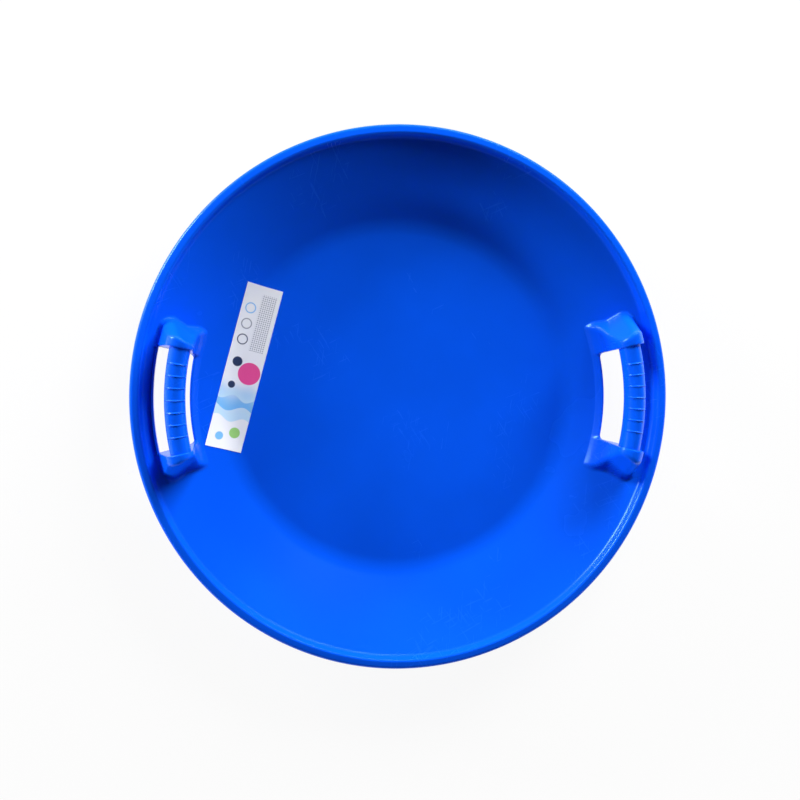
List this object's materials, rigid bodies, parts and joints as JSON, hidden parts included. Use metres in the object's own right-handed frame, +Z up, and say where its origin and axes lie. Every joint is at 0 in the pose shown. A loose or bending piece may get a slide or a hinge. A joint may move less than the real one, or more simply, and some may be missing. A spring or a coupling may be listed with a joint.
{
  "type": "saucer sled",
  "caption": "Round plastic saucer sled with a flat floor, a flared wall, a rolled rim and a bridge handle over a hand slot at each side.",
  "frame": {"origin": "middle of the flat floor's underside, where the sled rests", "axes": "+Z up out of the dish, +X through the right handle, +Y to the front"},
  "size_m": [0.6, 0.6, 0.1],
  "materials": {
    "sled_plastic": "smooth glossy injection moulding, bright blue",
    "label_film": null
  },
  "bodies": {
    "root": {"dish_floor": "sled_plastic", "dish_wall": "sled_plastic", "rim": "sled_plastic", "label": "label_film", "right_handle_rail": "sled_plastic", "left_handle_rail": "sled_plastic", "right_slot_lip": "sled_plastic", "left_slot_lip": "sled_plastic", "right_front_post": "sled_plastic", "left_front_post": "sled_plastic", "right_rear_post": "sled_plastic", "left_rear_post": "sled_plastic", "right_grip": "sled_plastic", "left_grip": "sled_plastic", "right_grip_ribs": "sled_plastic", "left_grip_ribs": "sled_plastic"}
  },
  "joints": []
}
